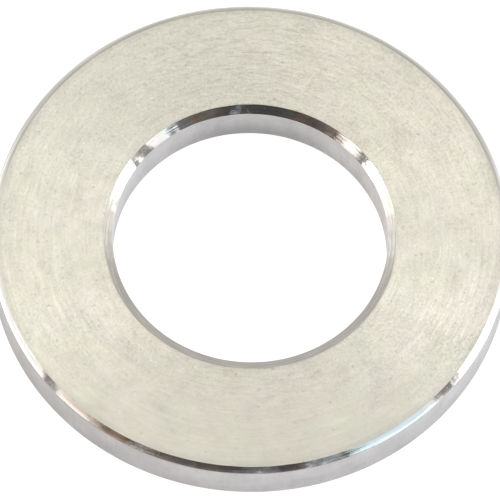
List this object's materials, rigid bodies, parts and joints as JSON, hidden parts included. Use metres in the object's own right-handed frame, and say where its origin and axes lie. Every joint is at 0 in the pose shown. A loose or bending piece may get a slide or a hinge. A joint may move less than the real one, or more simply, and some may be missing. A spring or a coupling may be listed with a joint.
{
  "type": "flat washer",
  "caption": "Plain round flat washer with a bolt clearance hole, flat bearing faces and chamfered edges.",
  "frame": {"origin": "centre of the lower bearing face, on the bore's axis", "axes": "+Z along the bore's axis, from the lower bearing face to the upper one; +X and +Y are any two radial directions, because the ring is the same all the way round"},
  "size_m": [0.02, 0.02, 0.002],
  "materials": {
    "turned_steel": "fine turned satin on the faces, smooth satin on the bore and rim, polished on the chamfers"
  },
  "bodies": {
    "root": {"washer": "turned_steel"}
  },
  "joints": []
}
